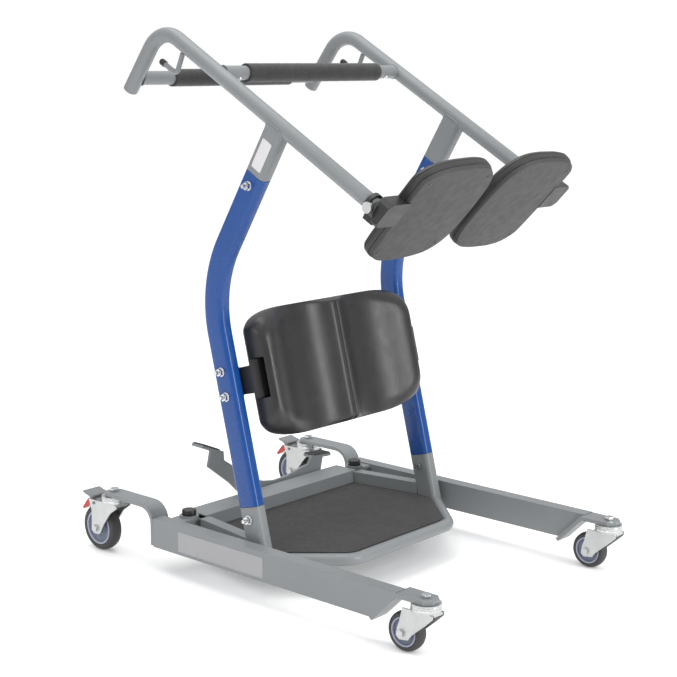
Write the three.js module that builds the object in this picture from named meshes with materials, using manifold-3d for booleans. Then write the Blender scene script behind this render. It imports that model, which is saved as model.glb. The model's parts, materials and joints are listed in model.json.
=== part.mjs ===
// Stand-aid patient lift: a U of two swinging legs on four braked or free casters, a footplate frame,
// two bent masts, looped handle tubes, a two-channel knee pad and a pair of swinging seat paddles.
// Units are millimetres. X runs across the frame, -Y is the patient's entry side, +Z is up.
import * as THREE from "three";
import { mergeVertices } from "three/addons/utils/BufferGeometryUtils.js";
import Module from "manifold-3d";

const wasm = await Module();
wasm.setup();

// ---------------------------------------------------------------- driving dimensions
const GAP = 0.3; // clearance between neighbouring pieces
const CENTRE_Y = 50; // the frame is drawn about its rear cross tube, then moved so it is centred on Y

const MAST_X = 268.5; // mast and handle tube planes, either side of the middle
const MAST_DEPTH = 50;
const MAST_WIDTH = 30;
const MAST_CORNER = 10;
const MAST_WALL = 3;
const MAST_FOOT = [59.3, 173]; // Y, Z of the joint between socket and mast
const MAST_BEND = [169.3, 601.1];
const MAST_BEND_R = 235;
const MAST_TOP = [36.1, 825]; // Y, Z of the joint between mast and handle frame
const SOCKET_FOOT = [30.7, 62];
const SPIGOT_LENGTH = 58;

const TUBE_R = 15;
const TUBE_WALL = 2.5;
const TUBE_END = [-260.4, 779.6];
const LOOP_CORNER = [300.8, 1102.3];
const LOOP_R = 62;
const LOOP_END = [396, 976];
const POST_TOP = [-19.3, 918.2];

const CAREGIVER_BAR = [378, 999];
const PATIENT_BAR = [143, 1011.5];
const BAR_R = 14;
const CAREGIVER_GRIP_R = 18;
const CAREGIVER_GRIP_HALF = 175;
const PATIENT_GRIP_R = 18.5;
const PATIENT_GRIP_HALF = 196;

const LEG_INNER = 295;
const LEG_OUTER = 325;
const LEG_TOP = 111;
const LEG_BOTTOM = 51;
const LEG_REAR = 290;
const PLATE_THICK = 8;
const PLATE_INNER = 281;
const LEG_PIVOT = [260, 251];
const LEG_PIN_R = 8;
const STEM_X = 303;
const FRONT_STEM_Y = -405;
const REAR_STEM_Y = 435;
const STEM_R = 6;

const FRONT_WHEEL_R = 37.5;
const REAR_WHEEL_R = 50;
const CASTER_TRAIL = 42;

const ROCKER_Y = [292, 298];
const ROCKER_Z = 96;
const ROCKER_TILT = THREE.MathUtils.degToRad(13.4);
const ROCKER_PIN = 14;

const SEAT_ORIGIN = [130.3, -270.4, 760]; // middle of the underside of a seat board
const SEAT_NORMAL_ANGLE = THREE.MathUtils.degToRad(43.5);
const SEAT_TURN = THREE.MathUtils.degToRad(2.5);
const SEAT_BOARD = 8;
const SEAT_TOTAL = 32;
const TUBE_SLOPE = Math.atan2(0.4985, 0.867);

// ---------------------------------------------------------------- materials
const material = (color, roughness, metalness = 0) =>
  new THREE.MeshStandardMaterial({ color, roughness, metalness });
const greyPaint = material(0x969b9c, 0.45);
const bluePaint = material(0x2d5a9b, 0.25);
const blackPaint = material(0x3a3a3a, 0.5);
const darkFoam = material(0x4a4a4a, 0.85);
const padSkin = material(0x404040, 0.4);
const matRubber = material(0x4d4a4a, 0.9);
const zinc = material(0xd8dadb, 0.25, 1);
const wheelRubber = material(0x4a4a4c, 0.8);
const redPlastic = material(0xc8504b, 0.4);
const blackPlastic = material(0x202020, 0.35);

// ---------------------------------------------------------------- solids
function toSolid(geometry) {
  const bare = geometry.index ? geometry.toNonIndexed() : geometry.clone();
  bare.deleteAttribute("normal");
  bare.deleteAttribute("uv");
  const merged = mergeVertices(bare, 1e-4);
  const mesh = new wasm.Mesh({
    numProp: 3,
    vertProperties: new Float32Array(merged.attributes.position.array),
    triVerts: new Uint32Array(merged.index.array),
  });
  mesh.merge();
  return new wasm.Manifold(mesh);
}

function toGeometry(solid) {
  const mesh = solid.getMesh();
  const geometry = new THREE.BufferGeometry();
  geometry.setAttribute("position", new THREE.BufferAttribute(new Float32Array(mesh.vertProperties), 3));
  geometry.setIndex(new THREE.BufferAttribute(new Uint32Array(mesh.triVerts), 1));
  geometry.computeVertexNormals();
  return geometry;
}

const join = (...solids) => solids.reduce((whole, piece) => whole.add(piece));
const cut = (solid, ...tools) => tools.reduce((rest, tool) => rest.subtract(tool), solid);

function block(x0, x1, y0, y1, z0, z1) {
  const geometry = new THREE.BoxGeometry(Math.abs(x1 - x0), Math.abs(y1 - y0), Math.abs(z1 - z0));
  geometry.translate((x0 + x1) / 2, (y0 + y1) / 2, (z0 + z1) / 2);
  return toSolid(geometry);
}

function extruded(points, depth) {
  const shape = new THREE.Shape(points.map(([a, b]) => new THREE.Vector2(a, b)));
  return new THREE.ExtrudeGeometry(shape, { depth, bevelEnabled: false });
}

function prismZ(points, z0, z1) {
  const geometry = extruded(points, z1 - z0);
  geometry.translate(0, 0, z0);
  return toSolid(geometry);
}

// Points are Y, Z pairs and the prism runs along X.
function prismX(points, x0, x1) {
  const low = Math.min(x0, x1);
  const geometry = extruded(points, Math.abs(x1 - x0));
  geometry.applyMatrix4(new THREE.Matrix4().set(0, 0, 1, low, 1, 0, 0, 0, 0, 1, 0, 0, 0, 0, 0, 1));
  return toSolid(geometry);
}

// Points are Z, X pairs and the prism runs along Y.
function prismY(points, y0, y1) {
  const geometry = extruded(points, y1 - y0);
  geometry.applyMatrix4(new THREE.Matrix4().set(0, 1, 0, 0, 0, 0, 1, y0, 1, 0, 0, 0, 0, 0, 0, 1));
  return toSolid(geometry);
}

function rod(from, to, radius, sides = 16) {
  const start = new THREE.Vector3(...from);
  const end = new THREE.Vector3(...to);
  const geometry = new THREE.CylinderGeometry(radius, radius, start.distanceTo(end), sides);
  const turn = new THREE.Quaternion().setFromUnitVectors(
    new THREE.Vector3(0, 1, 0),
    end.clone().sub(start).normalize(),
  );
  geometry.applyQuaternion(turn);
  const middle = start.add(end).multiplyScalar(0.5);
  geometry.translate(middle.x, middle.y, middle.z);
  return toSolid(geometry);
}

const rodX = (x0, x1, y, z, radius, sides) => rod([x0, y, z], [x1, y, z], radius, sides);
const rodZ = (x, y, z0, z1, radius, sides) => rod([x, y, z0], [x, y, z1], radius, sides);

// A path of straight runs joined by round bends, sampled only where it turns.
class BentPath extends THREE.Curve {
  constructor(corners, radius, bendSteps = 8) {
    super();
    const points = corners.map((corner) => new THREE.Vector3(...corner));
    this.stations = [];
    const direction = (a, b) => b.clone().sub(a).normalize();
    this.stations.push({ point: points[0], tangent: direction(points[0], points[1]) });
    for (let i = 1; i < points.length - 1; i += 1) {
      const into = direction(points[i - 1], points[i]);
      const out = direction(points[i], points[i + 1]);
      const turn = into.angleTo(out);
      const setback = radius * Math.tan(turn / 2);
      const inward = out.clone().sub(into).normalize();
      const centre = points[i].clone().addScaledVector(inward, radius / Math.cos(turn / 2));
      const start = points[i].clone().addScaledVector(into, -setback);
      const axis = into.clone().cross(out).normalize();
      const arm = start.sub(centre);
      for (let step = 0; step <= bendSteps; step += 1) {
        const angle = (turn * step) / bendSteps;
        const point = centre.clone().add(arm.clone().applyAxisAngle(axis, angle));
        const tangent = into.clone().applyAxisAngle(axis, angle);
        this.stations.push({ point, tangent });
      }
    }
    const last = points.length - 1;
    this.stations.push({ point: points[last], tangent: direction(points[last - 1], points[last]) });
  }

  station(u) {
    return this.stations[Math.round(u * (this.stations.length - 1))];
  }

  getPointAt(u) {
    return this.station(u).point.clone();
  }

  getTangentAt(u) {
    return this.station(u).tangent.clone();
  }
}

function sweep(path, outline) {
  const geometry = new THREE.ExtrudeGeometry(outline, {
    steps: path.stations.length - 1,
    bevelEnabled: false,
    extrudePath: path,
  });
  return toSolid(geometry);
}

function circleOutline(radius, sides) {
  const points = [];
  for (let i = 0; i < sides; i += 1) {
    const angle = (2 * Math.PI * i) / sides;
    points.push(new THREE.Vector2(radius * Math.cos(angle), radius * Math.sin(angle)));
  }
  return new THREE.Shape(points);
}

function roundedOutline(width, depth, radius, cornerSteps = 2) {
  const points = [];
  for (let corner = 0; corner < 4; corner += 1) {
    const signX = corner === 0 || corner === 3 ? 1 : -1;
    const signY = corner < 2 ? 1 : -1;
    for (let step = 0; step <= cornerSteps; step += 1) {
      const angle = (Math.PI / 2) * (corner + step / cornerSteps);
      points.push(
        new THREE.Vector2(
          signX * (width / 2 - radius) + radius * Math.cos(angle),
          signY * (depth / 2 - radius) + radius * Math.sin(angle),
        ),
      );
    }
  }
  return new THREE.Shape(points);
}

const inPlane = (x, points) => points.map(([y, z]) => [x, y, z]);
const along = ([y0, z0], [y1, z1], distance) => {
  const length = Math.hypot(y1 - y0, z1 - z0);
  return [y0 + ((y1 - y0) * distance) / length, z0 + ((z1 - z0) * distance) / length];
};
const mirrored = (points, s) => {
  const list = points.map(([x, y]) => [s * x, y]);
  return s < 0 ? list.reverse() : list;
};
const roundedPoints = (corners, radius, steps) => {
  const path = new BentPath(corners.map(([a, b]) => [a, b, 0]), radius, steps);
  return path.stations.map(({ point }) => [point.x, point.y]);
};

// ---------------------------------------------------------------- the scene
const root = new THREE.Group();
const frame = new THREE.Group();
frame.position.y = -CENTRE_Y;
root.add(frame);

function place(name, solid, look) {
  const mesh = new THREE.Mesh(toGeometry(solid), look);
  mesh.name = name;
  frame.add(mesh);
}

const SIDES = [
  { side: "left", s: -1 },
  { side: "right", s: 1 },
];

// ---------------------------------------------------------------- masts and sockets
const mastSection = (grow = 0) =>
  roundedOutline(MAST_WIDTH + 2 * grow, MAST_DEPTH + 2 * grow, MAST_CORNER + Math.min(grow, 0));
const spigotSection = () => mastSection(-MAST_WALL - GAP);
const spigotBore = () => mastSection(-MAST_WALL - GAP - MAST_WALL);
const mastPath = (x, from = MAST_FOOT, to = MAST_TOP) =>
  new BentPath(inPlane(x, [from, MAST_BEND, to]), MAST_BEND_R, 6);
const straight = (x, from, to) => new BentPath(inPlane(x, [from, to]), 0);
const MAST_FOOT_BELOW = along(MAST_FOOT, MAST_BEND, -SPIGOT_LENGTH);
const POST_BELOW = along(MAST_TOP, MAST_BEND, SPIGOT_LENGTH);

const LOWER_BOLT = [53.1, 149];
const UPPER_BOLT = along(MAST_TOP, MAST_BEND, 25);
const KNEE_BOLTS = [
  [127, 435],
  [114, 387],
];
const FRAME_BOLT_R = 5;
const boltHoles = (x, points) =>
  join(...points.map(([y, z]) => rodX(x - 40, x + 40, y, z, FRAME_BOLT_R + 0.5, 8)));

function socketSolid(x, grow = 0) {
  const top = grow > 0 ? along(MAST_FOOT, MAST_BEND, 10) : along(MAST_FOOT, MAST_BEND, -GAP);
  const low = grow > 0 ? along(SOCKET_FOOT, MAST_FOOT, -30) : SOCKET_FOOT;
  return sweep(straight(x, low, top), mastSection(grow));
}

for (const { side, s } of SIDES) {
  const x = s * MAST_X;
  const socketBore = sweep(
    straight(x, along(SOCKET_FOOT, MAST_FOOT, -5), along(MAST_FOOT, MAST_BEND, 5)),
    mastSection(-MAST_WALL),
  );
  place(`mast_socket_${side}`, cut(socketSolid(x), socketBore, boltHoles(x, [LOWER_BOLT])), greyPaint);

  const shell = cut(
    sweep(mastPath(x), mastSection()),
    sweep(
      mastPath(x, along(MAST_FOOT, MAST_BEND, 14), along(MAST_TOP, MAST_BEND, -2)),
      mastSection(-MAST_WALL),
    ),
  );
  const mastSpigot = sweep(straight(x, MAST_FOOT_BELOW, along(MAST_FOOT, MAST_BEND, 6)), spigotSection());
  const mastBore = sweep(
    straight(x, along(MAST_FOOT, MAST_BEND, -SPIGOT_LENGTH - 2), along(MAST_FOOT, MAST_BEND, 16)),
    spigotBore(),
  );
  place(
    `mast_${side}`,
    cut(join(shell, mastSpigot), mastBore, boltHoles(x, [LOWER_BOLT, UPPER_BOLT, ...KNEE_BOLTS])),
    bluePaint,
  );
}

// ---------------------------------------------------------------- looped handle frames
const LOOP_POINTS = [TUBE_END, LOOP_CORNER, LOOP_END];
const tubeSolid = (x, radius, overrun = 0) => {
  const start = along(TUBE_END, LOOP_CORNER, -overrun);
  const end = along(LOOP_END, LOOP_CORNER, -overrun);
  return sweep(new BentPath(inPlane(x, [start, LOOP_CORNER, end]), LOOP_R, 6), circleOutline(radius, 16));
};
const SEAT_BOLT = [-252, 784.4];
const SEAT_BOLT_R = 4;
const BAR_BOLT_R = 3;

for (const { side, s } of SIDES) {
  const x = s * MAST_X;
  const post = sweep(straight(x, along(MAST_TOP, POST_TOP, GAP), POST_TOP), mastSection());
  const spigot = sweep(straight(x, POST_BELOW, along(MAST_TOP, POST_TOP, 8)), spigotSection());
  const postBore = sweep(straight(x, along(POST_BELOW, MAST_TOP, -2), POST_TOP), spigotBore());
  const tubeBore = tubeSolid(x, TUBE_R - TUBE_WALL, 2);
  const seatHole = rodX(x, s * (MAST_X + 20), ...SEAT_BOLT, SEAT_BOLT_R + GAP, 10);
  place(
    `handle_frame_${side}`,
    cut(join(tubeSolid(x, TUBE_R), post, spigot), postBore, tubeBore, boltHoles(x, [UPPER_BOLT]), seatHole),
    greyPaint,
  );

  const nutSide = s * (MAST_X - 6);
  const headSide = s * (MAST_X + 21 + GAP);
  const seatBolt = join(
    rodX(nutSide, s * (MAST_X + 24), ...SEAT_BOLT, SEAT_BOLT_R, 10),
    rodX(headSide, s * (MAST_X + 26), ...SEAT_BOLT, 10.5, 20),
    rodX(nutSide, s * (MAST_X + 8), ...SEAT_BOLT, 6.5, 6),
  );
  place(`seat_pivot_bolt_${side}`, seatBolt, zinc);

  const hookPath = new BentPath(
    inPlane(x, [
      [236, 1057],
      [258.5, 1008.5],
      [299, 1031],
    ]),
    9,
    4,
  );
  const hookCap = rod([x, 291, 1026.6], [x, 303, 1033.2], 6.5, 10);
  const hook = join(sweep(hookPath, circleOutline(5, 8)), hookCap);
  place(`sling_hook_${side}`, cut(hook, tubeSolid(x, TUBE_R + GAP)), blackPaint);
}

// ---------------------------------------------------------------- grip bars
const handleTubes = join(tubeSolid(-MAST_X, TUBE_R + GAP), tubeSolid(MAST_X, TUBE_R + GAP));

function gripBar(name, [y, z], gripRadius, gripHalf) {
  const reach = MAST_X - TUBE_R + 4;
  const bar = cut(
    rodX(-reach, reach, y, z, BAR_R, 20),
    handleTubes,
    rodX(-reach - 1, reach + 1, y, z, BAR_R - 2.5, 12),
  );
  place(`${name}_bar`, bar, greyPaint);
  const grip = cut(
    rodX(-gripHalf, gripHalf, y, z, gripRadius, 24),
    rodX(-gripHalf - 1, gripHalf + 1, y, z, BAR_R + GAP, 20),
  );
  place(`${name}_grip`, grip, darkFoam);
}

gripBar("caregiver", CAREGIVER_BAR, CAREGIVER_GRIP_R, CAREGIVER_GRIP_HALF);
gripBar("patient", PATIENT_BAR, PATIENT_GRIP_R, PATIENT_GRIP_HALF);

// ---------------------------------------------------------------- knee pad and its bracket
// The pad is drawn upright, with f forward of the mast's middle and s along the mast, then leaned back.
const KNEE_MIDDLE = [120.5, 411];
const KNEE_LEAN = Math.atan(0.257);

function leaned(solid) {
  const lean = new THREE.Matrix4().makeRotationX(-KNEE_LEAN);
  lean.setPosition(0, ...KNEE_MIDDLE);
  return solid.transform(lean.elements);
}

const PAD_HALF = 233;
const PAD_BACK = 24;
const PAD_SHOULDER = 42;
const PAD_FRONT = 84;
const SLOT_HALF = 40;
const padFrontHalf = [
  [PAD_HALF, 34],
  [235, 50],
  [234, 64],
  [227, 75],
  [213, 80.5],
  [196, 78],
  [168, 66],
  [134, 51],
  [98, 45],
  [62, 48],
  [30, 60],
  [10, 73],
];
const padPlan = [
  ...padFrontHalf.map(([x, f]) => [x, -f]),
  ...padFrontHalf.toReversed().map(([x, f]) => [-x, -f]),
  [-PAD_HALF + 6, -PAD_BACK],
  [PAD_HALF - 6, -PAD_BACK],
].toReversed();
const padBackHalf = [
  [0, 133],
  [159, 132],
  [194, 125],
  [222, 116],
  [235, 98],
  [235, -90],
  [222, -109],
  [185, -122],
  [140, -127],
  [0, -127],
];
const padFaceHalf = [
  [0, 132],
  [50, 131],
  [140, 114],
  [196, 93],
  [217, 62],
  [217, -52],
  [203, -80],
  [176, -97],
  [131, -107],
  [0, -121],
];
const wholeOutline = (half) => [
  ...half.map(([x, z]) => [z, x]),
  ...half.slice(1, -1).toReversed().map(([x, z]) => [z, -x]),
];

// The face is smaller than the back, so the sides slope in towards the front.
function taperedY(back, face, yFace, yBack) {
  const geometry = extruded(back, yBack - yFace);
  const position = geometry.attributes.position;
  for (let i = 0; i < position.count; i += 1) {
    if (position.getZ(i) < 1e-6) {
      const match = back.findIndex(
        ([a, b]) => Math.hypot(a - position.getX(i), b - position.getY(i)) < 1e-3,
      );
      position.setXY(i, face[match][0], face[match][1]);
    }
  }
  geometry.applyMatrix4(new THREE.Matrix4().set(0, 1, 0, 0, 0, 0, 1, yFace, 1, 0, 0, 0, 0, 0, 0, 1));
  return toSolid(geometry);
}

const padBlank = join(
  prismY(wholeOutline(padBackHalf), -PAD_SHOULDER, 0),
  taperedY(wholeOutline(padBackHalf), wholeOutline(padFaceHalf), -PAD_FRONT, -PAD_SHOULDER + 1),
);
const padSlots = SIDES.map(({ s }) => block(s * 210, s * 260, -69, -44, -SLOT_HALF, SLOT_HALF));
const kneePad = cut(prismZ(padPlan, -150, 160).intersect(padBlank), ...padSlots);
place("knee_pad", leaned(kneePad), padSkin);

const BRACKET_THICK = 5;
const BRACKET_OUT = MAST_X - MAST_WIDTH / 2 - GAP;
const BRACKET_HALF = 27;
const TONGUE_HALF = 38;
const bracketSheets = SIDES.map(({ s }) =>
  join(
    block(s * (BRACKET_OUT - BRACKET_THICK), s * BRACKET_OUT, -50, 22, -BRACKET_HALF, BRACKET_HALF),
    block(s * 214, s * BRACKET_OUT, -54, -49, -TONGUE_HALF, TONGUE_HALF),
  ),
);
const bracketCross = block(-BRACKET_OUT + 1, BRACKET_OUT - 1, -21.5, -16.5, -BRACKET_HALF, BRACKET_HALF);
const bracketBar = cut(
  leaned(join(bracketCross, ...bracketSheets)),
  ...KNEE_BOLTS.map(([y, z]) => rodX(-300, 300, y, z, FRAME_BOLT_R + 0.5, 8)),
);
place("knee_bracket", bracketBar, blackPaint);

// ---------------------------------------------------------------- frame bolts, each with its nut
function frameBolt(name, s, [y, z], inner) {
  const outer = MAST_X + MAST_WIDTH / 2 + GAP;
  const bolt = join(
    rodX(s * (inner - 8), s * (outer + 17), y, z, FRAME_BOLT_R - 1, 8),
    rodX(s * (inner - 4), s * (outer + 5), y, z, FRAME_BOLT_R, 8),
    rodX(s * outer, s * (outer + 1.6), y, z, 9.5, 12),
    rodX(s * outer, s * (outer + 9), y, z, 8, 6),
    rodX(s * (inner - 8), s * inner, y, z, 8, 6),
  );
  place(name, bolt, zinc);
}

const MAST_INNER_FACE = MAST_X - MAST_WIDTH / 2 - GAP;
for (const { side, s } of SIDES) {
  frameBolt(`mast_bolt_lower_${side}`, s, LOWER_BOLT, MAST_INNER_FACE);
  frameBolt(`mast_bolt_upper_${side}`, s, UPPER_BOLT, MAST_INNER_FACE);
  frameBolt(`knee_bolt_upper_${side}`, s, KNEE_BOLTS[0], BRACKET_OUT - BRACKET_THICK - GAP);
  frameBolt(`knee_bolt_lower_${side}`, s, KNEE_BOLTS[1], BRACKET_OUT - BRACKET_THICK - GAP);
}

// ---------------------------------------------------------------- base frame
const CROSS = { y0: 225, y1: 285, z0: 81, z1: 111, half: 236 };
const BOSS = { r: 18, z0: 64.5, z1: 102.5 };
const crossPieces = [block(-CROSS.half, CROSS.half, CROSS.y0, CROSS.y1, CROSS.z0, CROSS.z1)];
const pinBores = [];
for (const { s } of SIDES) {
  const [px, py] = LEG_PIVOT;
  crossPieces.push(rodZ(s * px, py, BOSS.z0, BOSS.z1, BOSS.r, 20));
  crossPieces.push(block(s * (CROSS.half - 6), s * (px - 4), py - 15, py + 15, CROSS.z0, BOSS.z1));
  pinBores.push(rodZ(s * px, py, BOSS.z0 - 1, BOSS.z1 + 1, LEG_PIN_R + GAP, 16));
}
const rockerHub = rod([0, CROSS.y1 - 2, ROCKER_Z], [0, ROCKER_Y[1] + 4, ROCKER_Z], 5, 14);
const rockerHead = rod([0, ROCKER_Y[1] + 0.5, ROCKER_Z], [0, ROCKER_Y[1] + 7, ROCKER_Z], 7.2, 6);
const crossShell = cut(
  join(...crossPieces),
  block(-CROSS.half - 1, CROSS.half - 7, CROSS.y0 + 3, CROSS.y1 - 3, CROSS.z0 + 3, CROSS.z1 - 3),
  block(CROSS.half - 8, CROSS.half + 1, CROSS.y0 + 3, CROSS.y0 + 10, CROSS.z0 + 3, CROSS.z1 - 3),
  ...pinBores,
);
place("rear_cross_tube", join(crossShell, rockerHub, rockerHead), greyPaint);

const RIM_Z = 71.5;
const RIM_R = 12.5;
const RIM_CORNER = [152.6, -108];
const RIM_END = [266, 14.6];
const rimCorners = [
  [-RIM_END[0], RIM_END[1]],
  [-RIM_CORNER[0], RIM_CORNER[1]],
  RIM_CORNER,
  RIM_END,
];
const socketClear = join(socketSolid(-MAST_X, GAP), socketSolid(MAST_X, GAP));
const rimPath = (overrun = 0) => {
  const stretched = rimCorners.map(([x, y], i) => {
    const end = i === 0 ? -1 : i === 3 ? 1 : 0;
    return [x + end * overrun * 0.68, y + Math.abs(end) * overrun * 0.73, RIM_Z];
  });
  return new BentPath(stretched, 45, 4);
};
const rim = cut(
  sweep(rimPath(), circleOutline(RIM_R, 12)),
  sweep(rimPath(3), circleOutline(RIM_R - 3, 8)),
  socketClear,
);
place("front_rim_tube", rim.decompose().sort((a, b) => b.volume() - a.volume())[0], greyPaint);

const railInnerRear = [227, CROSS.y0 - GAP];
const railInnerFront = [254.5, 60];
const railOutline = (shrink, over) => [
  [railInnerRear[0] + shrink, railInnerRear[1] + over],
  [railInnerFront[0] + shrink, railInnerFront[1] - over],
  [railInnerFront[0] + 26 - shrink, railInnerFront[1] - over],
  [railInnerRear[0] + 26 - shrink, railInnerRear[1] + over],
];
for (const { side, s } of SIDES) {
  const rail = cut(
    prismZ(mirrored(railOutline(0, 0), s).toReversed(), 81.3, 108),
    prismZ(mirrored(railOutline(2.5, 3), s).toReversed(), 83.8, 105.5),
    socketClear,
  );
  place(`side_rail_${side}`, rail.decompose().sort((a, b) => b.volume() - a.volume())[0], greyPaint);
}

// The plate and its mat share one outline, drawn in from the rim tube by a margin.
function plateOutline(margin, railMargin) {
  const inset = [margin * 0.734, margin * 0.679];
  const corner = [RIM_CORNER[0] - inset[0] + margin * 0.3, RIM_CORNER[1] + margin];
  const front = roundedPoints([[250, 17], corner, [-corner[0], corner[1]], [-250, 17]], 34, 4);
  return [
    ...front.toReversed(),
    [252.5 - railMargin, 58],
    [227 - railMargin, CROSS.y0 - 1],
    [-(227 - railMargin), CROSS.y0 - 1],
    [-(252.5 - railMargin), 58],
  ].toReversed();
}
place("footplate", cut(prismZ(plateOutline(13, -6), 78, 81), socketClear), greyPaint);
place("footplate_mat", cut(prismZ(plateOutline(10.5, 1), 81.3, 84), socketClear), matRubber);

// ---------------------------------------------------------------- swinging legs
const LUG = [268, 303];
for (const { side, s } of SIDES) {
  const [px, py] = [s * LEG_PIVOT[0], LEG_PIVOT[1]];
  const beamSide = [
    [LEG_REAR, LEG_BOTTOM],
    [LEG_REAR, LEG_TOP],
    [-352, LEG_TOP],
    [-293, LEG_BOTTOM],
  ];
  const beamInside = [
    [LEG_REAR + 1, LEG_BOTTOM + 3],
    [LEG_REAR + 1, LEG_TOP - 3],
    [-342, LEG_TOP - 3],
    [-287, LEG_BOTTOM + 3],
  ];
  const beam = cut(
    prismX(beamSide, s * LEG_INNER, s * LEG_OUTER),
    prismX(beamInside, s * (LEG_INNER + 3), s * (LEG_OUTER - 3)),
  );
  const bentPlate = prismX(
    [
      [-291, 50],
      [-350, 110],
      [-427, 110],
      [-427, 102],
      [-353.4, 102],
      [-297, 45],
    ],
    s * PLATE_INNER,
    s * LEG_OUTER,
  );
  const plateEnd = prismZ(
    mirrored(
      [
        [PLATE_INNER, -280],
        [PLATE_INNER, -414],
        [PLATE_INNER + 13, -427],
        [LEG_OUTER - 13, -427],
        [LEG_OUTER, -414],
        [LEG_OUTER, -280],
      ],
      s,
    ),
    30,
    120,
  );
  const ears = [
    [BOSS.z1 + GAP, 113],
    [56, BOSS.z0 - GAP],
  ].map(([z0, z1], i) => {
    const top = i === 0 ? 109 : z1;
    return join(
      rodZ(px, py, z0, z1, 20, 20),
      block(px, s * (LEG_INNER + 2), py - 20, py + 20, z0, top),
    );
  });
  const lugPlate = join(
    block(s * 272, s * (LEG_INNER + 2), 272, 289.5, 86, 92),
    prismZ(
      mirrored(
        [
          [262, 303],
          [272, 272],
          [280, 280],
          [280, 289],
          [275, 306],
        ],
        s,
      ).toReversed(),
      86,
      92,
    ),
    rodZ(s * LUG[0], LUG[1], 86, 92, 8, 16),
    rodZ(s * LUG[0], LUG[1], 70, 90, 4, 12),
  );
  const leg = cut(
    join(beam, bentPlate.intersect(plateEnd), ...ears, lugPlate),
    rodZ(px, py, 50, 120, LEG_PIN_R + GAP, 16),
    rodZ(s * STEM_X, FRONT_STEM_Y, 95, 120, STEM_R + GAP, 12),
  );
  place(`leg_${side}`, leg, greyPaint);

  const armBand = [
    ...roundedPoints([[290.3, 53], [290.3, 136], [457, 136]], 38, 6),
    ...roundedPoints([[298.3, 53], [298.3, 128], [457, 128]], 30, 6).toReversed(),
  ];
  const armPlan = [
    [PLATE_INNER, 285],
    [LEG_OUTER, 285],
  ];
  for (let i = 0; i <= 10; i += 1) {
    const angle = (Math.PI * i) / 10;
    armPlan.push([303 + 22 * Math.cos(angle), 433 + 22 * Math.sin(angle)]);
  }
  const arm = cut(
    prismX(armBand.toReversed(), s * PLATE_INNER, s * LEG_OUTER).intersect(
      prismZ(s < 0 ? mirrored(armPlan, s) : armPlan, 40, 150),
    ),
    rodZ(s * STEM_X, REAR_STEM_Y, 120, 140, STEM_R + GAP, 12),
  );
  place(`rear_arm_${side}`, arm, greyPaint);

  const pin = join(
    rodZ(px, py, 47, 114, LEG_PIN_R, 16),
    rodZ(px, py, 113 + GAP, 125, 15, 24),
    rodZ(px, py, 47, 56 - GAP, 13, 6),
  );
  place(`leg_pivot_pin_${side}`, pin, blackPlastic);
}

// ---------------------------------------------------------------- casters
const WHEEL_SIDES = 20;

function wheelSolid(profile) {
  const stretch = 1 / Math.cos(Math.PI / WHEEL_SIDES);
  const points = profile.toReversed().map(([r, w]) => new THREE.Vector2(r * stretch, w));
  points.push(points[0].clone());
  const geometry = new THREE.LatheGeometry(points, WHEEL_SIDES);
  geometry.rotateY(Math.PI / WHEEL_SIDES);
  geometry.rotateZ(Math.PI / 2);
  return toSolid(geometry);
}

function wheelProfile(radius, halfWidth) {
  return [
    [5.6, -halfWidth + 1],
    [5.6, halfWidth - 1],
    [radius * 0.36, halfWidth - 1],
    [radius * 0.42, halfWidth - 5],
    [radius * 0.66, halfWidth - 5],
    [radius * 0.76, halfWidth],
    [radius, halfWidth - 5],
    [radius, -halfWidth + 5],
    [radius * 0.76, -halfWidth],
    [radius * 0.66, -halfWidth + 5],
    [radius * 0.42, -halfWidth + 5],
    [radius * 0.36, -halfWidth + 1],
  ];
}

const CASTERS = {
  front: {
    stemY: FRONT_STEM_Y,
    radius: FRONT_WHEEL_R,
    wheelHalf: 12.5,
    forkHalf: 18.5,
    ring: [86, 101.7],
    crown: [82, 86.5],
    cheek: [
      [-27, 86],
      [-27, 79],
      [-12, 65],
      [19, 38],
      [26, 28],
      [46, 25],
      [53, 31],
      [51, 46],
      [46, 60],
      [40, 86],
    ],
    head: [110 + GAP, 117],
  },
  rear: {
    stemY: REAR_STEM_Y,
    radius: REAR_WHEEL_R,
    wheelHalf: 13.5,
    forkHalf: 20,
    ring: [112, 127.7],
    crown: [108, 112.5],
    cheek: [
      [-27, 112],
      [-27, 106],
      [-7, 92],
      [14, 65],
      [27, 42],
      [34, 38],
      [49, 38],
      [55, 46],
      [54, 66],
      [54, 88],
      [63, 112],
    ],
    head: [136 + GAP, 143],
  },
};
const BRAKE_PIVOT = [REAR_STEM_Y + 46, 105];
const CHEEK_THICK = 3;

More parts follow.
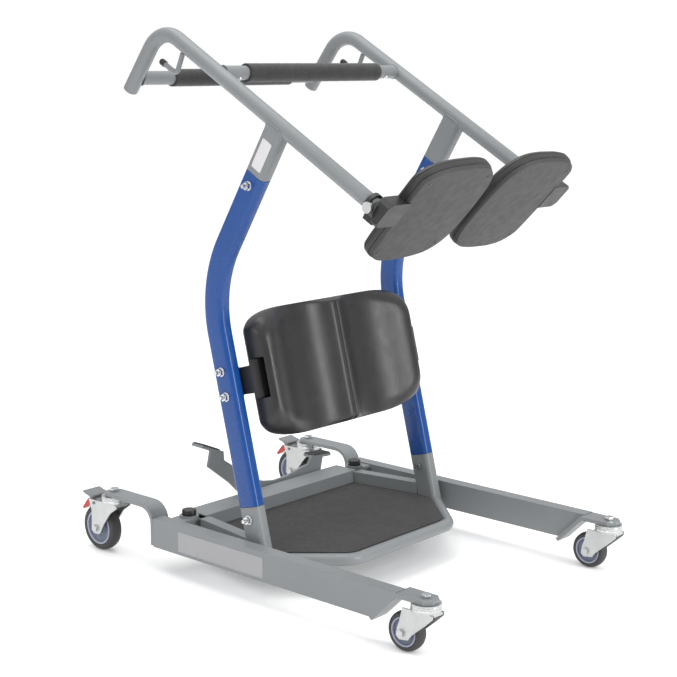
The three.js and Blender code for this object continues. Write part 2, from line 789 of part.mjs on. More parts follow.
for (const [end, spec] of Object.entries(CASTERS)) {
  for (const { side, s } of SIDES) {
    const x = s * STEM_X;
    const axleY = spec.stemY + CASTER_TRAIL;
    const outline = spec.cheek.map(([y, z]) => [y + spec.stemY, z]);
    const cheeks = [-1, 1].map((t) =>
      prismX(outline, x + t * spec.forkHalf, x + t * (spec.forkHalf - CHEEK_THICK)),
    );
    const crownPlan = [
      [x - spec.forkHalf, spec.stemY - 10],
      [x - 12, spec.stemY - 27],
      [x + 12, spec.stemY - 27],
      [x + spec.forkHalf, spec.stemY - 10],
      [x + spec.forkHalf, spec.stemY + 26],
      [x - spec.forkHalf, spec.stemY + 26],
    ];
    const axle = join(
      rodX(x - spec.forkHalf - 1, x + spec.forkHalf + 1, axleY, spec.radius, 5, 12),
      rodX(x - spec.forkHalf - 5, x - spec.forkHalf + 1, axleY, spec.radius, 8, 6),
      rodX(x + spec.forkHalf - 1, x + spec.forkHalf + 4, axleY, spec.radius, 8, 12),
    );
    let fork = join(
      ...cheeks,
      prismZ(crownPlan, ...spec.crown),
      rodZ(x, spec.stemY, ...spec.ring, 28, 20),
      axle,
    );
    fork = cut(fork, rodZ(x, spec.stemY, spec.ring[0] + 4, 150, STEM_R + GAP, 12));
    if (end === "rear") {
      fork = cut(fork, rodX(x - 30, x + 30, ...BRAKE_PIVOT, 3.3, 10));
    }
    place(`caster_fork_${end}_${side}`, fork, zinc);

    const wheel = wheelSolid(wheelProfile(spec.radius, spec.wheelHalf));
    place(`wheel_${end}_${side}`, wheel.translate([x, axleY, spec.radius]), wheelRubber);

    const stemBolt = join(
      rodZ(x, spec.stemY, spec.ring[0] + 4 + GAP, spec.head[1] - 1, STEM_R, 12),
      rodZ(x, spec.stemY, ...spec.head, 10, 6),
    );
    place(`stem_bolt_${end}_${side}`, stemBolt, zinc);
  }
}

// ---------------------------------------------------------------- brake pedals
for (const { side, s } of SIDES) {
  const x = s * STEM_X;
  const lever = prismX(
    [
      [474, 109],
      [474, 102.5],
      [489, 102.5],
      [505, 113],
      [512, 121],
      [511, 126],
      [498, 122],
      [488, 116],
      [480, 110.5],
    ],
    x - 13,
    x + 13,
  );
  const tread = prismX(
    [
      [485, 115.5],
      [512, 122.5],
      [514, 125],
      [512.5, 127.3],
      [485, 120.6],
      [483.5, 118],
    ],
    x - 22,
    x + 22,
  );
  const tab = prismX(
    [
      [486, 103],
      [500, 98],
      [528, 80.5],
      [533, 83],
      [514, 106],
      [492, 108],
    ],
    x - 9,
    x + 9,
  );
  const pin = rodX(x - 22, x + 22, ...BRAKE_PIVOT, 3, 10);
  place(`brake_pedal_${side}`, join(lever, tread, tab, pin), redPlastic);
}

// ---------------------------------------------------------------- spreader pedal rocker and tie rods
// Drawn level about its pivot, then tilted with the left pedal up, which is the legs-closed position.
function tilted(solid) {
  const tilt = new THREE.Matrix4().makeRotationY(ROCKER_TILT);
  tilt.setPosition(0, 0, ROCKER_Z);
  return solid.transform(tilt.elements);
}

const armUpper = [
  [0, 25],
  [30, 27],
  [70, 38],
  [111, 57],
  [137, 67],
  [143, 86],
];
const armLower = [
  [182, 90],
  [182, 50],
  [151, 36],
  [110, 18],
  [70, -6],
  [34, -21],
  [0, -26],
];
const halfArm = [...armUpper, ...armLower];
const arms = SIDES.map(({ s }) => {
  const outline = halfArm.map(([x, z]) => [z, s * x]);
  return prismY(s < 0 ? outline : outline.toReversed(), ...ROCKER_Y);
});
const treads = SIDES.map(({ s }) => {
  const tread = block(-28, 28, ROCKER_Y[0], ROCKER_Y[1] + 28, 0, 6);
  const lift = new THREE.Matrix4().makeRotationY(-s * THREE.MathUtils.degToRad(10));
  lift.setPosition(s * 181, 0, 85);
  return tread.transform(lift.elements);
});
const [hubFront, hubRear] = [ROCKER_Y[0] - 1, ROCKER_Y[1] + 1];
const rockerPins = SIDES.map(({ s }) =>
  rod([0, ROCKER_Y[0] + 2, s * ROCKER_PIN], [0, ROCKER_Y[1] + 9, s * ROCKER_PIN], 3, 12),
);
const pivotHole = rod([0, hubFront, 0], [0, hubRear, 0], 5 + 2 * GAP, 14);
const rocker = cut(join(...arms, ...treads), pivotHole);
place("pedal_rocker", tilted(join(rocker, ...rockerPins)), greyPaint);

for (const { side, s } of SIDES) {
  const pinX = s * ROCKER_PIN * Math.sin(ROCKER_TILT);
  const pinZ = ROCKER_Z + s * ROCKER_PIN * Math.cos(ROCKER_TILT);
  const plateY = [ROCKER_Y[1] + 1, ROCKER_Y[1] + 7];
  const eye = rod([pinX, plateY[0], pinZ], [pinX, plateY[1], pinZ], 6.2, 14);
  const endZ = 78;
  const shaft = join(
    eye,
    rod([pinX + s * 5, 302, pinZ], [s * (LUG[0] - 9), LUG[1], endZ], 3.5, 8),
    rodZ(s * LUG[0], LUG[1], endZ - 4, endZ + 4, 11, 16),
  );
  const tie = cut(
    shaft,
    rod([pinX, plateY[0] - 1, pinZ], [pinX, plateY[1] + 1, pinZ], 3 + GAP, 12),
    rodZ(s * LUG[0], LUG[1], 60, 100, 5.6, 12),
  );
  place(`tie_rod_${side}`, tie.decompose().sort((a, b) => b.volume() - a.volume())[0], zinc);
}

// ---------------------------------------------------------------- seat paddles
// Drawn flat, underside on z = 0, with +x outward and +y up the paddle, then set on the handle tube.
const SEAT_FLAT = 104; // the outer side is a straight edge this far from the middle
const seatPlan = [
  [102, -76],
  [SEAT_FLAT, 0],
  [105, 80],
  [98, 101],
  [74, 117],
  [36, 124],
  [0, 125],
  [-36, 124],
  [-72, 117],
  [-98, 98],
  [-112, 70],
  [-117, 34],
  [-118, 0],
  [-117, -34],
  [-112, -70],
  [-98, -98],
  [-72, -117],
  [-36, -124],
  [0, -125],
  [36, -124],
  [70, -116],
  [94, -98],
];
const seatOutline = (grow = 0) =>
  seatPlan.map(([x, y]) => [x * (1 + grow / (x > 0 ? SEAT_FLAT : 118)), y * (1 + grow / 125)]);

function seated(solid, s) {
  const n = [0, Math.cos(SEAT_NORMAL_ANGLE), Math.sin(SEAT_NORMAL_ANGLE)];
  const up = [0, -n[2], n[1]];
  const flat = new THREE.Matrix4().set(1, 0, 0, 0, 0, up[1], n[1], 0, 0, up[2], n[2], 0, 0, 0, 0, 1);
  flat.setPosition(s * SEAT_ORIGIN[0], SEAT_ORIGIN[1], SEAT_ORIGIN[2]);
  flat.multiply(new THREE.Matrix4().makeRotationZ(-s * SEAT_TURN));
  if (s > 0) {
    return solid.transform(flat.elements);
  }
  const flip = new THREE.Matrix4().makeScale(-1, 1, 1);
  return solid.transform(flat.multiply(flip).elements);
}

function onTube(solid, s) {
  const tube = new THREE.Matrix4().makeRotationX(-(Math.PI / 2 - TUBE_SLOPE));
  tube.setPosition(s * MAST_X, ...TUBE_END);
  return solid.transform(tube.elements);
}

const CUSHION_EDGE = 9;
for (const { side, s } of SIDES) {
  place(`seat_board_${side}`, seated(prismZ(seatOutline(), 0, SEAT_BOARD), s), blackPaint);

  const cushionShape = new THREE.Shape(
    seatOutline(-CUSHION_EDGE).map(([x, y]) => new THREE.Vector2(x, y)),
  );
  const cushionBlock = new THREE.ExtrudeGeometry(cushionShape, {
    depth: SEAT_TOTAL - 2 * CUSHION_EDGE,
    bevelThickness: CUSHION_EDGE,
    bevelSize: CUSHION_EDGE,
    bevelSegments: 2,
  });
  cushionBlock.translate(0, 0, CUSHION_EDGE);
  const cushion = cut(
    toSolid(cushionBlock),
    block(-140, 140, -140, 140, -1, SEAT_BOARD + GAP),
  );
  place(`seat_cushion_${side}`, seated(cushion, s), padSkin);

  const sleeve = rodZ(0, 0, -4, 23, 21, 20);
  const lobe = block(-9, 9, 14, 30, -4, 20);
  const basePlan = [
    [15, -20],
    [6, -29],
    [-42, -29],
    [-42, 29],
    [6, 29],
    [15, 20],
  ].map(([x, y]) => [s * x, y]);
  const base = prismZ(s > 0 ? basePlan.toReversed() : basePlan, -40, -1.5);
  const boltHeight = Math.hypot(SEAT_BOLT[0] - TUBE_END[0], SEAT_BOLT[1] - TUBE_END[1]);
  const slotPlan = [[0, 0]];
  for (let degrees = -24; degrees <= 120; degrees += 18) {
    const angle = THREE.MathUtils.degToRad(degrees);
    slotPlan.push([s * 40 * Math.cos(angle), -40 * Math.sin(angle)]);
  }
  const slot = prismZ(s > 0 ? slotPlan.toReversed() : slotPlan, boltHeight - 4.5, boltHeight + 4.5);
  const bracket = cut(
    onTube(cut(join(sleeve, lobe, base), rodZ(0, 0, -1, 60, TUBE_R + GAP, 20), slot), s),
    seated(block(-200, 200, -200, 200, -80, -1), s),
    seated(prismZ(seatOutline(0.4), -GAP, SEAT_TOTAL + GAP), s),
  );
  place(
    `seat_bracket_${side}`,
    bracket.decompose().sort((a, b) => b.volume() - a.volume())[0],
    blackPaint,
  );
}

export default root;
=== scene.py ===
"""Looks for the stand-aid patient lift: fine surfaces, materials, floor, light and camera."""
import json
import math

import bmesh
import bpy
from mathutils import Matrix, Vector


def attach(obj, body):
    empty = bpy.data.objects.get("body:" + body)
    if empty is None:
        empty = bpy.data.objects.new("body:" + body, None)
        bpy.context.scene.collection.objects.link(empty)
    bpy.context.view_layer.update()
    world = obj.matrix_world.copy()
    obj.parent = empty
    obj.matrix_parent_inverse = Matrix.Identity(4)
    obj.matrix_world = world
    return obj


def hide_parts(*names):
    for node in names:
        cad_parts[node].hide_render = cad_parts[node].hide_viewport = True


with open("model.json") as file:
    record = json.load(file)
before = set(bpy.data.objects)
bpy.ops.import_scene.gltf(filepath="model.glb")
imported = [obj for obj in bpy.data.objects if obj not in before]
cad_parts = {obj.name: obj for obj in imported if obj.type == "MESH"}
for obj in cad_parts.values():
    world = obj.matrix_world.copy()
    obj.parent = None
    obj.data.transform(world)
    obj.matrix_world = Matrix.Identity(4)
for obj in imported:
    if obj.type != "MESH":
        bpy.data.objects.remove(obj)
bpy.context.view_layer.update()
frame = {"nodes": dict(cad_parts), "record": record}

MM = 0.001
CENTRE_Y = 50.0
SIDES = (("left", -1), ("right", 1))
BODY_OF = {
    node: body
    for body, nodes in frame["record"]["behaviour"]["bodies"].items()
    for node in nodes
}


def at(x, y, z):
    """A point of the drawing, in millimetres about the cross tube, as metres in the row frame."""
    return Vector((x * MM, (y - CENTRE_Y) * MM, z * MM))


# ---------------------------------------------------------------- materials
def new_material(name, color, rough, metal=0.0, coat=0.0, sheen=0.0, specular=0.5):
    mat = bpy.data.materials.new(name)
    mat.use_nodes = True
    tree = mat.node_tree
    shader = tree.nodes["Principled BSDF"]
    shader.inputs["Base Color"].default_value = (*color, 1)
    shader.inputs["Roughness"].default_value = rough
    shader.inputs["Metallic"].default_value = metal
    shader.inputs["Coat Weight"].default_value = coat
    shader.inputs["Coat Roughness"].default_value = 0.08
    shader.inputs["Sheen Weight"].default_value = sheen
    shader.inputs["Specular IOR Level"].default_value = specular
    return mat, tree, shader


def noise(tree, scale, detail=2.0, stretch=(1, 1, 1)):
    where = tree.nodes.new("ShaderNodeTexCoord")
    mapping = tree.nodes.new("ShaderNodeMapping")
    mapping.inputs["Scale"].default_value = stretch
    tree.links.new(where.outputs["Object"], mapping.inputs["Vector"])
    texture = tree.nodes.new("ShaderNodeTexNoise")
    texture.inputs["Scale"].default_value = scale
    texture.inputs["Detail"].default_value = detail
    tree.links.new(mapping.outputs["Vector"], texture.inputs["Vector"])
    return texture.outputs["Fac"]


def cells(tree, scale, stretch=(1, 1, 1), feature="F1"):
    where = tree.nodes.new("ShaderNodeTexCoord")
    mapping = tree.nodes.new("ShaderNodeMapping")
    mapping.inputs["Scale"].default_value = stretch
    tree.links.new(where.outputs["Object"], mapping.inputs["Vector"])
    texture = tree.nodes.new("ShaderNodeTexVoronoi")
    texture.feature = feature
    texture.inputs["Scale"].default_value = scale
    tree.links.new(mapping.outputs["Vector"], texture.inputs["Vector"])
    return texture.outputs["Distance"]


def ramp(tree, source, low, high, color_low, color_high):
    node = tree.nodes.new("ShaderNodeValToRGB")
    node.color_ramp.elements[0].position = low
    node.color_ramp.elements[0].color = (*color_low, 1)
    node.color_ramp.elements[1].position = high
    node.color_ramp.elements[1].color = (*color_high, 1)
    tree.links.new(source, node.inputs["Fac"])
    return node.outputs["Color"]


def spread(tree, source, low, high):
    node = tree.nodes.new("ShaderNodeMapRange")
    node.inputs["From Min"].default_value = 0.25
    node.inputs["From Max"].default_value = 0.75
    node.inputs["To Min"].default_value = low
    node.inputs["To Max"].default_value = high
    tree.links.new(source, node.inputs["Value"])
    return node.outputs["Result"]


def bump(tree, shader, source, distance, strength=1.0):
    node = tree.nodes.new("ShaderNodeBump")
    node.inputs["Strength"].default_value = strength
    node.inputs["Distance"].default_value = distance
    tree.links.new(source, node.inputs["Height"])
    previous = shader.inputs["Normal"].links
    if previous:
        tree.links.new(previous[0].from_socket, node.inputs["Normal"])
    tree.links.new(node.outputs["Normal"], shader.inputs["Normal"])


def shade(color, factor):
    return tuple(channel * factor for channel in color)


def finish_material(name, color, rough, variation=0.06, patch=9.0, grain=None, **extra):
    """A base colour that drifts a little, a roughness that drifts with it, and a fine surface grain."""
    mat, tree, shader = new_material(name, color, rough, **extra)
    drift = noise(tree, patch, 4.0)
    tint = ramp(tree, drift, 0.3, 0.7, shade(color, 1 - variation), shade(color, 1 + variation))
    tree.links.new(tint, shader.inputs["Base Color"])
    smear = noise(tree, patch * 4, 3.0)
    tree.links.new(spread(tree, smear, rough * 0.85, rough * 1.15), shader.inputs["Roughness"])
    if grain:
        kind, scale, depth = grain
        source = cells(tree, scale) if kind == "cells" else noise(tree, scale, 3.0)
        bump(tree, shader, source, depth)
    return mat


GREY = (0.205, 0.218, 0.223)
M = {
    "grey": finish_material("grey_powder_coat", GREY, 0.36, 0.03, grain=("noise", 1400, 0.00003)),
    "blue": finish_material("blue_gloss_coat", (0.004, 0.058, 0.25), 0.26, 0.05, coat=0.22, specular=0.35,
                            grain=("noise", 350, 0.00002)),
    "black_steel": finish_material("black_satin_coat", (0.015, 0.0145, 0.015), 0.4, 0.1,
                                   grain=("noise", 1500, 0.00004)),
    "foam": finish_material("foam_grip", (0.022, 0.022, 0.023), 0.82, 0.12, 30,
                            ("cells", 1300, 0.00025), sheen=0.2),
    "skin": finish_material("pad_skin", (0.018, 0.018, 0.019), 0.34, 0.1, 12,
                            ("cells", 1500, 0.00006)),
    "board": finish_material("seat_board_plastic", (0.042, 0.042, 0.0425), 0.62, 0.05, 14,
                             ("noise", 2200, 0.00009)),
    "rim": finish_material("seat_rim_skin", (0.024, 0.023, 0.024), 0.45, 0.1, 14,
                           ("cells", 1700, 0.00007)),
    "mat": finish_material("mat_rubber", (0.045, 0.043, 0.043), 0.85, 0.1, 18,
                           ("cells", 700, 0.00035)),
    "hub_light": finish_material("hub_rim_plastic", (0.33, 0.36, 0.45), 0.35, 0.04, 50,
                                 ("noise", 900, 0.00004)),
    "zinc": finish_material("bright_zinc", (0.6, 0.61, 0.62), 0.2, 0.04, 40, metal=1.0,
                            grain=("noise", 500, 0.00002)),
    "pressed": finish_material("pressed_zinc", (0.5, 0.51, 0.505), 0.3, 0.05, 35, metal=0.8,
                               grain=("noise", 420, 0.00004)),
    "tyre": finish_material("tyre_rubber", (0.036, 0.035, 0.036), 0.6, 0.15, 60,
                            ("noise", 1200, 0.00008)),
    "hub": finish_material("hub_plastic", (0.125, 0.145, 0.205), 0.38, 0.05, 50,
                           ("noise", 900, 0.00004)),
    "red": finish_material("red_plastic", (0.46, 0.035, 0.03), 0.35, 0.06, 40,
                           ("noise", 900, 0.00004)),
    "lever": finish_material("lever_grey_plastic", (0.19, 0.2, 0.205), 0.45, 0.05, 40,
                             ("noise", 1200, 0.00005)),
    "cap": finish_material("black_cap", (0.012, 0.012, 0.013), 0.3, 0.1, 60,
                           ("noise", 1500, 0.00005)),
    "tread": finish_material("pedal_rubber", (0.03, 0.03, 0.03), 0.75, 0.12, 40,
                             ("noise", 900, 0.0002)),
    "panel": finish_material("blank_panel", (0.33, 0.33, 0.34), 0.5, 0.02, 20,
                             ("noise", 800, 0.00002)),
    "white": finish_material("blank_white_panel", (0.63, 0.62, 0.63), 0.4, 0.02, 20,
                             ("noise", 800, 0.00002)),
}


# ---------------------------------------------------------------- mesh building
class Build:
    """Collects closed shapes into one mesh."""

    def __init__(self):
        self.bm = bmesh.new()

    def loft(self, rings, cap=True, closed=False):
        rows = [[self.bm.verts.new(point) for point in ring] for ring in rings]
        pairs = list(zip(rows, rows[1:]))
        if closed:
            pairs.append((rows[-1], rows[0]))
        for low, high in pairs:
            for i in range(len(low)):
                j = (i + 1) % len(low)
                self.bm.faces.new((low[i], low[j], high[j], high[i]))
        if cap and not closed:
            self.bm.faces.new(list(reversed(rows[0])))
            self.bm.faces.new(rows[-1])
        return self

    def sweep(self, path, outline, side):
        """path is (point, tangent) pairs and side the direction of the outline's first axis."""
        rings = []
        for point, tangent in path:
            other = tangent.cross(side).normalized()
            rings.append([point + side * a + other * b for a, b in outline])
        return self.loft(rings)

    def lathe(self, origin, axis, profile, sides=48, closed=False):
        """profile is (radius, distance along axis) pairs."""
        axis = Vector(axis).normalized()
        u = axis.orthogonal().normalized()
        v = axis.cross(u)
        rings = []
        for radius, height in profile:
            centre = Vector(origin) + axis * height
            rings.append(
                [
                    centre
                    + (u * math.cos(2 * math.pi * i / sides) + v * math.sin(2 * math.pi * i / sides))
                    * radius
                    for i in range(sides)
                ]
            )
        return self.loft(rings, closed=closed)

    def make(self, name, mat, body, nodes=(), bevel=0.0, subdivide=0, slot=None):
        bmesh.ops.remove_doubles(self.bm, verts=self.bm.verts, dist=1e-7)
        bmesh.ops.recalc_face_normals(self.bm, faces=self.bm.faces)
        mesh = bpy.data.meshes.new(name)
        self.bm.to_mesh(mesh)
        self.bm.free()
        return piece(name, mesh, mat, body, nodes, bevel, subdivide)


def smooth_by_angle(obj, degrees=35.0):
    mesh = obj.data
    for face in mesh.polygons:
        face.use_smooth = True
    bm = bmesh.new()
    bm.from_mesh(mesh)
    limit = math.radians(degrees)
    for edge in bm.edges:
        edge.smooth = edge.calc_face_angle(0.0) < limit
    bm.to_mesh(mesh)
    bm.free()


def piece(name, mesh, mat, body, nodes=(), bevel=0.0, subdivide=0):
    obj = bpy.data.objects.new(name, mesh)
    bpy.context.scene.collection.objects.link(obj)
    mesh.materials.append(M[mat])
    smooth_by_angle(obj)
    if bevel:
        mod = obj.modifiers.new("edges", "BEVEL")
        mod.width = bevel
        mod.segments = 3
        mod.limit_method = "ANGLE"
        mod.angle_limit = math.radians(38)
        mod.harden_normals = False
        for face in mesh.polygons:
            face.use_smooth = True
        weighted = obj.modifiers.new("normals", "WEIGHTED_NORMAL")
        weighted.keep_sharp = True
    if subdivide:
        mod = obj.modifiers.new("surface", "SUBSURF")
        mod.levels = subdivide
        mod.render_levels = subdivide
    if nodes:
        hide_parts(*nodes)
    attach(obj, body)
    return obj


def refined(node, mat, bevel=0.0008, name=None):
    """The CAD node's own shape, with its flat facets joined and its edges rounded."""
    bm = bmesh.new()
    bm.from_mesh(frame["nodes"][node].data)
    bmesh.ops.remove_doubles(bm, verts=bm.verts, dist=1e-6)
    bmesh.ops.dissolve_limit(bm, angle_limit=math.radians(1.0), verts=bm.verts, edges=bm.edges)
    mesh = bpy.data.meshes.new(name or node + "_fine")
    bm.to_mesh(mesh)
    bm.free()
    return piece(name or node + "_fine", mesh, mat, BODY_OF[node], (node,), bevel)


def rounded_rect(width, depth, radius, steps=7):
    points = []
    for corner, (sx, sy) in enumerate(((1, 1), (-1, 1), (-1, -1), (1, -1))):
        for step in range(steps + 1):
            angle = math.pi / 2 * (corner + step / steps)
            points.append(
                (
                    (sx * (width / 2 - radius) + radius * math.cos(angle)) * MM,
                    (sy * (depth / 2 - radius) + radius * math.sin(angle)) * MM,
                )
            )
    return points


def circle(radius, sides=40):
    return [
        (radius * MM * math.cos(2 * math.pi * i / sides), radius * MM * math.sin(2 * math.pi * i / sides))
        for i in range(sides)
    ]


def bent_path(corners, radius, steps=24):
    """Straight runs joined by round bends, as (point, tangent) pairs."""
    points = [Vector(corner) for corner in corners]
    stations = [(points[0], (points[1] - points[0]).normalized())]
    for before, corner, after in zip(points, points[1:], points[2:]):
        into = (corner - before).normalized()
        out = (after - corner).normalized()
        turn = into.angle(out)
        centre = corner + (out - into).normalized() * radius / math.cos(turn / 2)
        arm = corner - into * radius * math.tan(turn / 2) - centre
        axis = into.cross(out).normalized()
        for step in range(steps + 1):
            spin = Matrix.Rotation(turn * step / steps, 3, axis)
            stations.append((centre + spin @ arm, spin @ into))
    stations.append((points[-1], (points[-1] - points[-2]).normalized()))
    return stations


def toward(a, b, distance):
    a, b = Vector(a), Vector(b)
    return tuple(a + (b - a).normalized() * distance)


X = Vector((1, 0, 0))
Z = Vector((0, 0, 1))

# ---------------------------------------------------------------- masts, sockets, handle frames
MAST_X = 268.5
MAST_FOOT = (59.3, 173.0)
MAST_BEND = (169.3, 601.1)
MAST_TOP = (36.1, 825.0)
SOCKET_FOOT = (30.7, 62.0)
TUBE_END = (-260.4, 779.6)
LOOP_CORNER = (300.8, 1102.3)
LOOP_END = (396.0, 976.0)
POST_TOP = (-19.3, 918.2)
MAST_SECTION = rounded_rect(30, 50, 10)


def eased_ends(path, section, ease=0.0008):
    """The path with its two end sections pulled in a little, so that the cut ends catch light."""
    (first, t0), (last, t1) = path[0], path[-1]
    inner = [(a * 0.955, b * 0.97) for a, b in section]
    return [
        (first, t0, inner),
        (first + t0 * ease, t0, section),
        *[(p, t, section) for p, t in path[1:-1]],
        (last - t1 * ease, t1, section),
        (last, t1, inner),
    ]


def sweep_eased(build, path, section, side=X):
    rings = []
    for point, tangent, outline in eased_ends(path, section):
        other = tangent.cross(side).normalized()
        rings.append([point + side * a + other * b for a, b in outline])
    return build.loft(rings)


def weld_bead(name, path_points, radius=0.0016, mat="grey", body="base"):
    """A closed bead laid along a loop of points."""
    build = Build()
    rings = []
    count = len(path_points)
    for i, point in enumerate(path_points):
        tangent = (path_points[(i + 1) % count] - path_points[i - 1]).normalized()
        u = tangent.orthogonal().normalized()
        reference = X if abs(tangent.dot(X)) < 0.9 else Z
        u = tangent.cross(reference).normalized()
        v = tangent.cross(u)
        swell = radius * (1 + 0.18 * math.sin(i * 2.1))
        rings.append(
            [point + (u * math.cos(a) + v * math.sin(a)) * swell for a in
             (2 * math.pi * k / 8 for k in range(8))]
        )
    build.loft(rings, closed=True)
    return build.make(name, mat, body, slot="frame_grey")


for side, s in SIDES:
    x = s * MAST_X
    mast = bent_path([at(x, *MAST_FOOT), at(x, *MAST_BEND), at(x, *MAST_TOP)], 0.235, 40)
    sweep_eased(Build(), mast, MAST_SECTION).make(
        f"mast_{side}_tube", "blue", "base", (f"mast_{side}",))
    socket = bent_path([at(x, *SOCKET_FOOT), at(x, *toward(MAST_FOOT, MAST_BEND, -0.3))], 0)
    sweep_eased(Build(), socket, MAST_SECTION).make(
        f"mast_socket_{side}_tube", "grey", "base", (f"mast_socket_{side}",))

    handle = Build()
    loop = bent_path([at(x, *TUBE_END), at(x, *LOOP_CORNER), at(x, *LOOP_END)], 0.062, 32)
    sweep_eased(handle, loop, circle(15))
    post = bent_path([at(x, *toward(MAST_TOP, POST_TOP, 0.3)), at(x, *toward(POST_TOP, MAST_TOP, 4))], 0)
    sweep_eased(handle, post, MAST_SECTION)
    handle.make(f"handle_frame_{side}_tube", "grey", "base", (f"handle_frame_{side}",))

    plug_at = at(x, *LOOP_END)
    plug_axis = (at(x, *LOOP_END) - at(x, *LOOP_CORNER)).normalized()
    Build().lathe(
        plug_at, plug_axis,
        [
            (0.004, -0.004), (0.0142, -0.004), (0.0148, 0.0), (0.0145, 0.0014), (0.0125, 0.0027),
            (0.004, 0.0033),
        ],
    ).make(f"tube_plug_{side}", "lever", "base", slot="frame_grey")

    hook = bent_path([at(x, 240.5, 1048), at(x, 258.5, 1008.5), at(x, 299, 1031)], 0.009, 14)
    Build().sweep(hook, circle(5, 24), X).make(
        f"sling_hook_{side}_rod", "grey", "base", (f"sling_hook_{side}",), slot="frame_grey")
    tip = at(x, 303, 1033.2)
    tip_axis = (tip - at(x, 291, 1026.6)).normalized()
    Build().lathe(
        tip, tip_axis,
        [
            (0.0052, -0.0135), (0.0063, -0.0133), (0.0066, -0.012), (0.0066, -0.003), (0.0058, -0.0008),
            (0.003, 0.0003),
        ],
        32,
    ).make(f"sling_hook_{side}_cap", "cap", "base", slot="black_cap")

    # Bead where the post meets the tube's underside.
    tube_dir = (at(x, *LOOP_CORNER) - at(x, *TUBE_END)).normalized()
    post_dir = (at(x, *POST_TOP) - at(x, *MAST_TOP)).normalized()
    post_across = post_dir.cross(X).normalized()
    bead = []
    for a, b in rounded_rect(30.4, 50.4, 10, 5):
        foot = at(x, *POST_TOP) + X * a + post_across * b
        # The tube's surface directly over this point of the post's outline.
        offset = foot - at(x, *POST_TOP)
        height = -math.sqrt(max(0.015 ** 2 - min(abs(a), 0.0149) ** 2, 0))
        normal = tube_dir.cross(X).normalized()
        if normal.z < 0:
            normal = -normal
        distance = (height - offset.dot(normal)) / post_dir.dot(normal)
        bead.append(foot + post_dir * distance)
    weld_bead(f"post_weld_{side}", bead, 0.0014)

# ---------------------------------------------------------------- bars and foam grips
for name, (y, z), grip_r, grip_half in (
    ("caregiver", (378, 999), 18, 175),
    ("patient", (143, 1011.5), 18.5, 196),
):
    reach = MAST_X - 13
    Build().lathe(at(-reach, y, z), X, [(0.014, 0), (0.014, 2 * reach * MM)], 48).make(
        f"{name}_bar_tube", "grey", "base", (f"{name}_bar",))
    length = 2 * grip_half * MM
    r = grip_r * MM
    profile = [(0.0142, 0.0), (r - 0.0022, 0.0), (r - 0.0006, 0.0007), (r, 0.0024)]
    steps = 60
    for i in range(1, steps):
        wave = 0.00012 * math.sin(i * 1.7) * math.sin(i * 0.31)
        profile.append((r + wave - 0.0001, length * i / steps))
    profile += [(r, length - 0.0024), (r - 0.0006, length - 0.0007), (r - 0.0022, length), (0.0142, length)]
    grip = Build().lathe(at(-grip_half, y, z), X, profile, 56, closed=True).make(
        f"{name}_grip_foam", "foam", "base", (f"{name}_grip",))
    for side, s in SIDES:
        # A small round-headed screw through each end of the bar, just outside the foam.
        spot = at(s * (grip_half + 24), y, z)
        out = Vector((0, -0.64, -0.77)) if name == "patient" else Vector((0, 0.64, -0.77))
        Build().lathe(
            spot + out * 0.0136, out,
            [
                (0.001, 0.0), (0.0046, 0.0), (0.0048, 0.0008), (0.004, 0.0024), (0.0022, 0.0032),
                (0.0006, 0.0034),
            ],
            28,
        ).make(f"{name}_bar_screw_{side}", "zinc", "base", slot="bright_zinc")
        ring = [
            at(s * (MAST_X - 14.6), y, z) + Vector((0, math.cos(t), math.sin(t))) * 0.0142
            - X * s * (1 - math.sqrt(1 - min(0.93, abs(math.cos(t - 0.52)) * 0.93) ** 2)) * -0.0055
            for t in (2 * math.pi * k / 40 for k in range(40))
        ]
        weld_bead(f"{name}_bar_weld_{side}", ring, 0.0013)

# ---------------------------------------------------------------- base frame
RIM_Z = 71.5
rim_path = bent_path(
    [at(-266, 14.6, RIM_Z), at(-152.6, -108, RIM_Z), at(152.6, -108, RIM_Z), at(266, 14.6, RIM_Z)], 0.045, 18)
Build().sweep(rim_path, circle(12.5, 36), Z).make(
    "front_rim_tube_round", "grey", "base", ("front_rim_tube",))

for node, mat, edge in (
    ("rear_cross_tube", "grey", 0.0022),
    ("footplate", "grey", 0.0008),
    ("footplate_mat", "mat", 0.0009),
    ("knee_bracket", "black_steel", 0.0009),
    ("pedal_rocker", "grey", 0.0012),
):
    refined(node, mat, edge)

